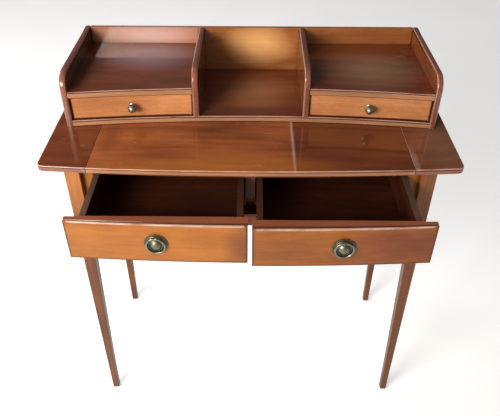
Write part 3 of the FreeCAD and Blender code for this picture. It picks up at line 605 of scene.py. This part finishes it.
def inside_wood(name, grain, seed, **more):
    """The dark stained boards of the drawers' boxes."""
    return wood(name, grain, seed, *INSIDE, figure=0.3, coat=0.25, coat_roughness=0.25,
                roughness=0.5, wear_and_highlight=0.2, **more)


def frame_cherry(name, grain, seed):
    """The parts of the case that show between the drawers, with a thinner finish."""
    return wood(name, grain, seed, *CHERRY, coat=0.2, coat_roughness=0.3, roughness=0.5)


def bare_wood(name, grain, seed):
    """The plain wood of runners, kickers and bearers, with no finish."""
    return wood(name, grain, seed, *BARE, figure=0.6, coat=0.0, roughness=0.7, wear_and_highlight=0.1)


def dress(node, material, arris=0.7):
    """Give a CAD node its material and soften its arrises."""
    piece = NODES[node]
    piece.data.materials.clear()
    piece.data.materials.append(material)
    if arris:
        weld = piece.modifiers.new("weld", "WELD")
        weld.merge_threshold = 1e-5
        bevel = piece.modifiers.new("arris", "BEVEL")
        bevel.width = arris * MM
        bevel.segments = 3
        bevel.limit_method = "ANGLE"
        bevel.angle_limit = SMOOTH_BELOW
        bevel.harden_normals = True


# ---- the top and the slide ---------------------------------------------------------------

# How much of the edge shape runs along a side that meets another board.
SEAM_EDGE = 0.13
HOUSED_EDGE = 0.1

TOP_BEAD = 1.7
TOP_FOOT = 1.2
# Where painted shade starts on the slide, darkening the board to the right.
SLIDE_SHADE_FROM = 84.0


def curved_edge(front, start, end, count, last_weight):
    """Corners along a curved front, from start to end, with the weight of the edge after it."""
    stations = [start + (end - start) * i / count for i in range(count + 1)]
    corners = [(x, front(x), 0, 1.0) for x in stations]
    corners[-1] = corners[-1][:3] + (last_weight,)
    return corners


def top_end(name, side):
    node = "top_end_" + name
    (x0, x1), (back, _), (low, high) = reach(node)
    inner, outer = (x0, x1) if side > 0 else (x1, x0)
    bow_start = outer - side * (TOP_CORNER_ROUND + 6)
    corners = [(inner, back, 0, 1.0), (outer, back, 3, 1.0),
               (outer, top_front(outer), TOP_CORNER_ROUND, 1.0)]
    corners += curved_edge(top_front, bow_start, inner, 8, SEAM_EDGE)
    # Painted sheen over the right end of the top.
    hazy_sheen = patch(place(385, 320, high), (90, 180, 30), TRAY_HAZY_SHEEN, 0.55)
    handled = patch(place(314, 385, high), (10, 60, 30), RUB_AND_HIGHLIGHT, 0.3)
    material = wood(node, "x", 11 + side, *END_CHERRY, scuffs=0.35, edge_light=EDGE_SHADE,
                    patches=(hazy_sheen, handled))
    mesh = board(rounded(corners), beaded(high - low, TOP_BEAD, TOP_FOOT), low, place)
    finish(node + "_board", mesh, material, "desk", [node])


def writing_slide():
    node = "writing_slide"
    (x0, x1), (back, _), (low, high) = reach(node)
    corners = [(x0, back, 0, SEAM_EDGE), (x1, back, 0, SEAM_EDGE)]
    corners += curved_edge(top_front, x1, x0, BOARD_STATIONS, SEAM_EDGE)
    shaded = patch(place(185, 330, high), (125, 160, 50), SLIDE_SHADE, 0.85)
    # A band of painted light along the front of the slide.
    lit_patch = patch(place(-60, 405, high), (280, 45, 50), SLIDE_LIGHT, 0.6)
    # A darker patch near the left end of the slide.
    dark_patch = patch(place(-283, 300, high), (28, 65, 30), SLIDE_DARK_PATCH, 0.6)
    material = wood(node, "x", 21, *TOP_CHERRY, figure=0.6, scuffs=0.3,
                    patches=(shaded, lit_patch, dark_patch), shade_from=SLIDE_SHADE_FROM)
    mesh = board(rounded(corners), beaded(high - low, TOP_BEAD, TOP_FOOT), low, place)
    finish(node + "_board", mesh, material, node, [node])


def desk_top():
    for name, side in SIDES.items():
        top_end(name, side)
    writing_slide()
    dress("slide_stop", bare_wood("slide_stop", "x", 22))
    dress("top_back_strip", wood("top_back_strip", "x", 23, *TOP_CHERRY))
    dress("gallery_screws", steel("screw_steel"), arris=0)


# ---- the gallery -------------------------------------------------------------------------

STANDING_SOFT = 4.2
# Patches on the face of the gallery's back are too shallow to show on its rear face.
BACK_DEPTH = 9


def hollow_board(node, bead, foot, stations, material):
    """A level board behind the hollow front of the gallery."""
    (x0, x1), (back, _), (low, high) = reach(node)
    corners = [(x0, back, 0, HOUSED_EDGE), (x1, back, 0, HOUSED_EDGE)]
    corners += curved_edge(hollow_front, x1, x0, stations, HOUSED_EDGE)
    mesh = board(rounded(corners), beaded(high - low, bead, foot), low, place)
    finish(node + "_board", mesh, material, "desk", [node])


def standing(node, seed, patches=()):
    """A board standing front to back, rounded along its edges and at its front top corner."""
    (x0, x1), (back, front), (low, high) = reach(node)
    corners = [(back, low, 0, 1.0), (back, high, 1.5, 1.0),
               (front, high, GALLERY_ROUND, 1.0), (front, low, 0, 0.2)]
    material = wood(node, "y", seed, *CHERRY, wear_and_highlight=0.4, edge_light=EDGE_SHADE, patches=patches)
    mesh = board(rounded(corners), soft(x1 - x0, STANDING_SOFT), x0,
                 lambda forward, z, x: place(x, forward, z))
    finish(node + "_board", mesh, material, "desk", [node])


def gallery():
    tray_top = reach("tray_left")[2][1]
    # Painted reflection in the left tray and painted sheen in the right one.
    sheen = {-1: patch(place(-225, 85, tray_top), (125, 85, 30), TRAY_SHEEN, 0.8),
             1: patch(place(255, 150, tray_top), (120, 110, 30), TRAY_HAZY_SHEEN, 0.85)}
    (_, inner), _, (_, side_top) = reach("gallery_side_left")
    # Painted shade on the inner face of the left gallery side.
    inner_shade = patch(place(inner, 90, side_top - 10), (9, 220, 70), SIDE_SHADE, 0.85)
    for name, side in SIDES.items():
        standing("gallery_side_" + name, 31 + side, (inner_shade,))
        standing("divider_" + name, 41 + side)
        tray = "tray_" + name
        hollow_board(tray, 1.5, 1.4, 14,
                     wood(tray, "x", 51 + side, *END_CHERRY, scuffs=0.2, patches=(sheen[side],)))

    base_top = reach("gallery_base")[2][1]
    # Painted sheen on the floor of the gallery's middle bay.
    bay_sheen = patch(place(0, 140, base_top), (130, 110, 30), BAY_SHEEN, 0.6)
    hollow_board("gallery_base", 1.6, 1.2, BOARD_STATIONS,
                 wood("gallery_base", "x", 61, *END_CHERRY, patches=(bay_sheen,)))

    _, (_, front), (_, top) = reach("gallery_back")
    # Painted glare on the left of the gallery's back, painted light in its middle and painted
    # shade on its right.
    pink = patch(place(-225, front, top - 18), (140, BACK_DEPTH, 40), PINK_GLARE, 1.0)
    gold = patch(place(15, front, top - 40), (90, BACK_DEPTH, 55), GOLD_GLOW, 1.0)
    shaded = patch(place(270, front, top - 18), (150, BACK_DEPTH, 50), BACK_SHADE, 0.6)
    dress("gallery_back", wood("gallery_back", "x", 66, *BACK_CHERRY, figure=0.12,
                               patches=(pink, gold, shaded)), arris=1.4)


# ---- drawers -----------------------------------------------------------------------------

def lipped(thick):
    """The edge of a frieze front: a bead along the face, with a quirk behind it."""
    bead = 1.4
    # The face bead takes a pale line of rubbing and painted highlight, and its quirks painted
    # shade.
    shape = [(bead + 3.8, 0, 0, 0), (bead + 2.0, 0, 0.2, 0), (bead + 0.4, 0, 0.6, 0)]
    shape += [(bead * falling, bead * rising, 1, 0.5) for falling, rising in quarter(6)]
    return shape + [(0.0, 2.2, 0.3, 1), (0.1, 2.5, -1, 1), (1.4, 3.1, -1, 1), (1.4, 5.0, -1, 1),
                    (0.1, 5.7, -1, 1), (0.0, 6.0, 0, 1), (0.0, thick - 0.6, 0, 1),
                    (0.6, thick, 0.6, 1)]


def small_edge(thick):
    """The edge of a small front: a narrow bead behind a fine quirk."""
    # The quirk takes painted shade, and the bead's crown rubbing and a painted highlight.
    shape = [(4.6, 0, 0, 0), (2.6, 0, 0, 0), (2.3, 0.7, -1, 0), (1.9, 0.7, -1, 0)]
    for step in range(7):
        angle = math.pi * step / 6
        rub_and_light = 1 if 1 < step < 5 else 0
        shape.append((0.95 + 0.9 * math.cos(angle), 0.9 - 0.8 * math.sin(angle), rub_and_light, 0))
    return shape + [(0.0, 1.6, 0, 0), (0.0, thick - 0.4, 0, 0), (0.4, thick, 0, 0)]


# The ends of a frieze front are thinner by this step, and close in front of the stiles.
LIP_STEP = 2.0


def frieze_front(stem, side, body):
    """The bowed front, whose back steps forward beyond the two sides of the box."""
    node = stem + "front"
    across, (back, front), up = reach(node)
    thinnest = frieze_face(FRIEZE_HALF, front) - back
    box = [abs(x) for part in ("side_inner", "side_outer") for x in reach(stem + part)[0]]
    steps = [side * edge + shift for edge in (min(box), max(box)) for shift in (-0.1, 0.1)]

    def surface(x, z, setback):
        face = frieze_face(abs(x), front)
        forward = face - (face - back) * setback / thinnest
        if not min(box) < abs(x) < max(box):
            forward = max(forward, back + LIP_STEP)
        return place(x, forward, z)

    middle = up[0] + 40
    # Painted shade darkening the right drawer's face towards its right end, and along that end.
    shaded = patch(place(310, front, middle), (200, 50, 80), RIGHT_END_SHADE, 1.0)
    shaded_edge = patch(place(across[1], front, middle), (50, 50, 90), RIGHT_END_SHADE, 0.6)
    # The right drawer's face takes a darker copy of the left's tones, as painted shade.
    tones = FACE_CHERRY if side < 0 else RIGHT_FACE_SHADED
    material = wood(node, "x", 71 + side, *tones, figure=0.15, coat=0.5, wear_and_highlight=0.75,
                    edge_light=FRIEZE_EDGE_LIGHT, patches=(shaded, shaded_edge))
    mesh = panel(across, up, lipped(thinnest), surface, steps)
    finish(stem + "face", mesh, material, body, [node])


def frieze_drawer(name, side):
    stem = f"frieze_{name}_"
    body = "frieze_drawer_" + name
    frieze_front(stem, side, body)
    side_top = reach(stem + "side_inner")[2][1]
    # The unstained top edges of the sides are pale, darkened with painted shade, the inner side
    # more.
    rims = {"side_inner": INNER_RIM, "side_outer": OUTER_RIM}
    for i, (part, rim) in enumerate(rims.items()):
        dress(stem + part, inside_wood(stem + part, "y", 81 + i + side,
                                       pale_above=(side_top, rim)))
    dress(stem + "back", inside_wood(stem + "back", "x", 91 + side))
    dress(stem + "bottom", inside_wood(stem + "bottom", "x", 95 + side), arris=0)
    dress(stem + "pull_bolt", steel(stem + "bolt_steel"), arris=0)
    ring_pull(name, side, body)


def out_of_face(x, forward, z, sine):
    """A matrix at a point of a face: its Z leads out of the face and its Y leads up."""
    cosine = math.sqrt(1 - sine * sine)
    out, up = Vector((sine, -cosine, 0)), Vector((0, 0, 1))
    frame_matrix = Matrix((up.cross(out), up, out)).transposed().to_4x4()
    return Matrix.Translation(place(x, forward, z)) @ frame_matrix


PLATE_ROUND = 22.4
STEP_ROUND = 19.6
STEP_RISE = 4.2
BEAD_MIDDLE = 13.6
BEAD_SIZE = 1.15
BEAD_COUNT = 36
BOSS_ROUND = 11.0
BOSS_FOOT = 4.6
BOSS_RISE = 10.5
RING_MIDDLE = 17.0
RING_WIRE = 1.9
RING_RISE = 6.7
EYE_ROUND = 3.5
EYE_BORE = 2.35
EYE_WIDE = 6.4


def pull_plate(axis):
    """The plate with its rim, step and dome, turned in one piece."""
    dome_radius = bow_radius(BOSS_ROUND, BOSS_RISE - BOSS_FOOT)
    dome_edge = math.degrees(math.asin(BOSS_ROUND / dome_radius))
    profile = [(3.0, 0), (PLATE_ROUND - 0.4, 0), (PLATE_ROUND, 0.4), (PLATE_ROUND, 1.4),
               (PLATE_ROUND - 0.4, 2.2), (PLATE_ROUND - 1.0, 2.4), (PLATE_ROUND - 1.6, 2.1),
               (PLATE_ROUND - 2.2, 1.6), (STEP_ROUND + 0.2, 1.7), (STEP_ROUND, 2.2),
               (STEP_ROUND - 0.3, STEP_RISE - 0.5), (STEP_ROUND - 0.9, STEP_RISE),
               (BEAD_MIDDLE + 1.3, STEP_RISE), (BEAD_MIDDLE + 0.9, STEP_RISE - 0.3),
               (BEAD_MIDDLE - 0.9, STEP_RISE - 0.3), (BOSS_ROUND + 0.9, STEP_RISE),
               (BOSS_ROUND + 0.3, STEP_RISE + 0.2)]
    profile += arc((0, BOSS_RISE - dome_radius), dome_radius, 90 - dome_edge, 89.5, 14)
    return turned(profile, axis, 96)


def join(meshes):
    """Several bmeshes as one."""
    whole = bmesh.new()
    for mesh in meshes:
        data = bpy.data.meshes.new("part")
        mesh.to_mesh(data)
        mesh.free()
        whole.from_mesh(data)
        bpy.data.meshes.remove(data)
    return whole


def pull_beads(axis):
    """The ring of low round beads about the dome."""
    profile = arc((0, 0), BEAD_SIZE, -30, 85, 5)
    beads = []
    for i in range(BEAD_COUNT):
        angle = 2 * math.pi * i / BEAD_COUNT
        centre = Vector((math.cos(angle), math.sin(angle), 0)) * BEAD_MIDDLE
        centre.z = STEP_RISE - 0.1
        beads.append(turned(profile, axis @ Matrix.Translation(centre * MM), 12))
    return beads


def pull_eye(axis):
    """The eye is a short tube across the plate, at the top of the ring, waisted in its middle."""
    tube_axis = axis @ Matrix.Translation(Vector((0, RING_MIDDLE, RING_RISE)) * MM)
    tube_axis = tube_axis @ Matrix.Rotation(math.pi / 2, 4, "Y")
    half = EYE_WIDE / 2
    waist = EYE_ROUND - 0.25
    tube = [(EYE_BORE, -half + 0.4), (EYE_BORE + 0.4, -half), (EYE_ROUND - 0.5, -half),
            (EYE_ROUND, -half + 0.5), (waist, -0.9), (waist, 0.9), (EYE_ROUND, half - 0.5),
            (EYE_ROUND - 0.5, half), (EYE_BORE + 0.4, half), (EYE_BORE, half - 0.4)]
    return hoop(tube, tube_axis, 24)


def ring_pull(name, side, body):
    stem = f"frieze_{name}_"
    inner_front = reach(stem + "front")[1][1]
    radius = bow_radius(FRIEZE_HALF, RAIL_BOW)
    forward = frieze_face(PULL_PLACE, inner_front)
    axis = out_of_face(side * PULL_PLACE, forward, PULL_HEIGHT, side * PULL_PLACE / radius)
    plate = join([pull_plate(axis), pull_eye(axis)] + pull_beads(axis))
    finish(stem + "pull_plate_turned", plate,
           brass(stem + "plate_brass", 101 + side, PLATE_TONE, 0.38), body,
           [stem + "pull_plate"])
    wire = arc((RING_MIDDLE, RING_RISE), RING_WIRE, 0, 345, 23)
    finish(stem + "pull_ring_cast", hoop(wire, axis, 96),
           brass(stem + "ring_brass", 111 + side, RING_TONE), "pull_ring_" + name,
           [stem + "pull_ring"])


KNOB_BALL = 9.0
KNOB_REACH = 12.6


def knob(name, side):
    stem = f"small_{name}_"
    radius = bow_radius(GALLERY_HALF, GALLERY_HOLLOW) + SMALL_RECESS
    forward = hollow_front(KNOB_PLACE, SMALL_RECESS)
    axis = out_of_face(side * KNOB_PLACE, forward, KNOB_HEIGHT, -side * KNOB_PLACE / radius)
    profile = [(2.0, -16.5), (2.0, 0), (6.2, 0), (6.6, 0.4), (6.5, 1.0), (5.4, 1.5), (4.2, 2.4),
               (3.9, 3.4), (4.3, 4.3)]
    profile += arc((0, KNOB_REACH), KNOB_BALL, -58, 62, 22)
    profile += [(3.9, KNOB_REACH + KNOB_BALL - 1.15), (3.3, KNOB_REACH + KNOB_BALL - 0.72)]
    profile += arc((0, KNOB_REACH), KNOB_BALL, 72, 89, 5)
    finish(stem + "knob_turned", turned(profile, axis),
           brass(stem + "knob_brass", 121 + side, KNOB_TONE, 0.34), "small_drawer_" + name,
           [stem + "knob"])


def small_drawer(name, side):
    stem = f"small_{name}_"
    across, (back, _), up = reach(stem + "front")
    inner = min(abs(across[0]), abs(across[1]))
    thinnest = hollow_front(inner, SMALL_RECESS) - back

    def surface(x, z, setback):
        face = hollow_front(x, SMALL_RECESS)
        return place(x, face - (face - back) * setback / thinnest, z)

    material = wood(stem + "front", "x", 131 + side, *SMALL_FACE, figure=0.15, coat=0.8)
    finish(stem + "face", panel(across, up, small_edge(thinnest), surface), material,
           "small_drawer_" + name, [stem + "front"])
    dress(stem + "sides", inside_wood(stem + "sides", "y", 141 + side))
    dress(stem + "back", inside_wood(stem + "back", "x", 145 + side))
    dress(stem + "bottom", inside_wood(stem + "bottom", "x", 149 + side), arris=0)
    knob(name, side)


# ---- case and legs -----------------------------------------------------------------------

# How wide a leg's square section is, from its foot up, as (height, side).
LEG_TAPER = [(3.0, 15.4), (78.0, 16.2), (206.0, 18.8), (471.0, 25.0), (598.0, 31.5)]
LEG_ARRIS = 2.6


def leg_side(height):
    """The side of a leg's square section at a height."""
    if height <= LEG_TAPER[0][0]:
        return LEG_TAPER[0][1]
    for (h0, s0), (h1, s1) in zip(LEG_TAPER, LEG_TAPER[1:]):
        if height <= h1:
            return s0 + (s1 - s0) * (height - h0) / (h1 - h0)
    return LEG_TAPER[-1][1]


def leg(node, material):
    """A square leg with rounded arrises; its two outer faces stay straight."""
    (x0, x1), (back, front), (low, high) = reach(node)
    outer_x, to_x = (x0, 1) if x0 < 0 else (x1, -1)
    at_front = front > (back + LEG_FACE) / 2
    outer_y, to_y = (front, -1) if at_front else (back, 1)
    heights = [0, 1.2] + [12 + 24 * i for i in range(24)]
    heights += [high - low - 100, high - low]
    rings = []
    for height in heights:
        easing = (-18, -9, 0, 9, 18)
        side = sum(leg_side(low + height + shift) for shift in easing) / len(easing)
        arris = LEG_ARRIS * side / (x1 - x0)
        foot = 0.9 if height == 0 else 0.0
        corners = [(foot, foot), (side - foot, foot), (side - foot, side - foot),
                   (foot, side - foot)]
        outline = rounded([(a, b, arris, 1.0) for a, b in corners])
        rings.append([place(outer_x + to_x * p.x, outer_y + to_y * p.y, low + height)
                      for p, weight in outline])
    finish(node + "_turned", skin(rings), material, "desk", [node])


def case():
    for i, node in enumerate(("leg_front_left", "leg_front_right", "leg_rear_left",
                              "leg_rear_right")):
        across, (_, front), (_, top) = reach(node)
        # Painted light on the upper part of each leg, stronger on the left legs.
        lit_share = 0.75 if across[0] < 0 else 0.25
        lit_patch = patch(place(sum(across) / 2, front, top - 30), (70, 70, 160), LEG_TOP_LIGHT, lit_share)
        leg(node, wood(node, "z", 151 + i, *LEG_CHERRY, coat=0.35, coat_roughness=0.2,
                       roughness=0.5, wear_and_highlight=0.4, patches=(lit_patch,)))
    dress("foot_glides", steel("glide_steel"), arris=0)
    for i, node in enumerate(("apron_left", "apron_right")):
        dress(node, wood(node, "y", 161 + i, *CHERRY))
    dress("apron_back", wood("apron_back", "x", 165, *CHERRY))
    dress("rail_front_top", frame_cherry("rail_front_top", "x", 166))
    dress("rail_front_bottom", frame_cherry("rail_front_bottom", "x", 167), arris=1.2)
    for i, node in enumerate(("stile_left", "stile_right")):
        dress(node, wood(node, "z", 171 + i, *FACE_CHERRY, coat=0.3, coat_roughness=0.3))
    dress("stile_middle", frame_cherry("stile_middle", "z", 173))
    for i, node in enumerate(("runner_left", "runner_right", "runner_middle",
                              "slide_bearer_left", "slide_bearer_right", "kicker_middle")):
        dress(node, bare_wood(node, "y", 181 + i))


# ---- floor, light and camera -------------------------------------------------------------

# The floor and the lights are in metres, in the frame's own axes.
FLOOR_HALF = 6.0


def stage():
    """A plain pale floor."""
    s = Shader("floor")
    mottle = s.noise(s.spot, 3.0, 4)
    s.set(Base_Color=s.mix(mottle, colour(0.90, 0.90, 0.90), colour(0.94, 0.94, 0.935)),
          Roughness=s.span(mottle, 0.3, 0.7, 0.55, 0.7),
          Emission_Color=colour(1.0, 1.0, 1.0), Emission_Strength=0.42)
    s.feed(s.surface.inputs["Normal"], s.bump(s.noise(s.spot, 240, 3), 0.1, 0.2))
    mesh = bmesh.new()
    corners = [(-1, -1), (1, -1), (1, 1), (-1, 1)]
    mesh.faces.new([mesh.verts.new((x * FLOOR_HALF, y * FLOOR_HALF, 0)) for x, y in corners])
    data = bpy.data.meshes.new("floor")
    mesh.to_mesh(data)
    mesh.free()
    floor = bpy.data.objects.new("floor", data)
    floor.data.materials.append(s.material)
    bpy.context.scene.collection.objects.link(floor)


def area_light(name, where, target, size, power, tint):
    """A soft rectangular light that faces its target."""
    data = bpy.data.lights.new(name, "AREA")
    data.shape = "RECTANGLE"
    data.size, data.size_y = size
    data.energy = power
    data.color = tint
    lamp = bpy.data.objects.new(name, data)
    lamp.location = where
    aim = Vector(target) - Vector(where)
    lamp.rotation_euler = aim.to_track_quat("-Z", "Y").to_euler()
    bpy.context.scene.collection.objects.link(lamp)


def studio_world():
    """A studio that is bright towards the sitter and dim behind the desk."""
    world = bpy.data.worlds.new("studio")
    bpy.context.scene.world = world
    world.use_nodes = True
    tree = world.node_tree
    background = tree.nodes["Background"]
    background.inputs["Color"].default_value = colour(1.0, 0.98, 0.97)
    facing = tree.nodes.new("ShaderNodeSeparateXYZ")
    tree.links.new(tree.nodes.new("ShaderNodeTexCoord").outputs["Generated"], facing.inputs[0])
    dim = tree.nodes.new("ShaderNodeMapRange")
    reaches = {"From Min": -0.6, "From Max": 0.3, "To Min": 0.36, "To Max": 0.07}
    for socket, value in reaches.items():
        dim.inputs[socket].default_value = value
    tree.links.new(facing.outputs["Y"], dim.inputs["Value"])
    tree.links.new(dim.outputs[0], background.inputs["Strength"])


def light():
    studio_world()
    area_light("key", where=(-1.15, -1.35, 1.35), target=(-0.2, -0.1, 0.75), size=(0.9, 0.7),
               power=36, tint=(1.0, 0.93, 0.82))
    area_light("front", where=(-1.7, -2.5, 2.2), target=(-0.2, 0, 0.5), size=(1.8, 1.2),
               power=50, tint=(1.0, 0.96, 0.92))
    area_light("side", where=(-2.4, 0.9, 2.7), target=(0.3, 0.2, 0), size=(2.2, 2.2),
               power=50, tint=(1.0, 0.99, 0.98))
    area_light("window", where=(-0.5, 2.2, 1.45), target=(-0.3, 0.1, 0.85), size=(0.75, 0.25),
               power=0.9, tint=(0.95, 0.96, 1.0))
    bpy.context.scene.view_settings.view_transform = "Standard"


# The camera's lens and sensor in millimetres, its place over the top of the desk, and its aim.
LENS = 42.804
SENSOR = 36.0
EYE_PLACE = (3.5035, 1326.29, TOP_HEIGHT + 636.62)
PITCH, YAW, ROLL = (math.radians(angle) for angle in (38.6075, -0.2401, 0.2419))


def camera():
    data = bpy.data.cameras.new("view")
    data.lens = LENS
    data.sensor_width = SENSOR
    eye = bpy.data.objects.new("view", data)
    ahead = Vector((math.sin(YAW) * math.cos(PITCH), math.cos(YAW) * math.cos(PITCH),
                    -math.sin(PITCH)))
    right = Vector((math.cos(YAW), -math.sin(YAW), 0))
    up = right.cross(ahead)
    rolled_right = right * math.cos(ROLL) + up * math.sin(ROLL)
    rolled_up = up * math.cos(ROLL) - right * math.sin(ROLL)
    turn = Matrix((rolled_right, rolled_up, -ahead)).transposed().to_4x4()
    eye.matrix_world = Matrix.Translation(place(*EYE_PLACE)) @ turn
    bpy.context.scene.collection.objects.link(eye)
    bpy.context.scene.camera = eye


desk_top()
gallery()
for drawer_name, drawer_side in SIDES.items():
    frieze_drawer(drawer_name, drawer_side)
    small_drawer(drawer_name, drawer_side)
case()
stage()
light()
camera()
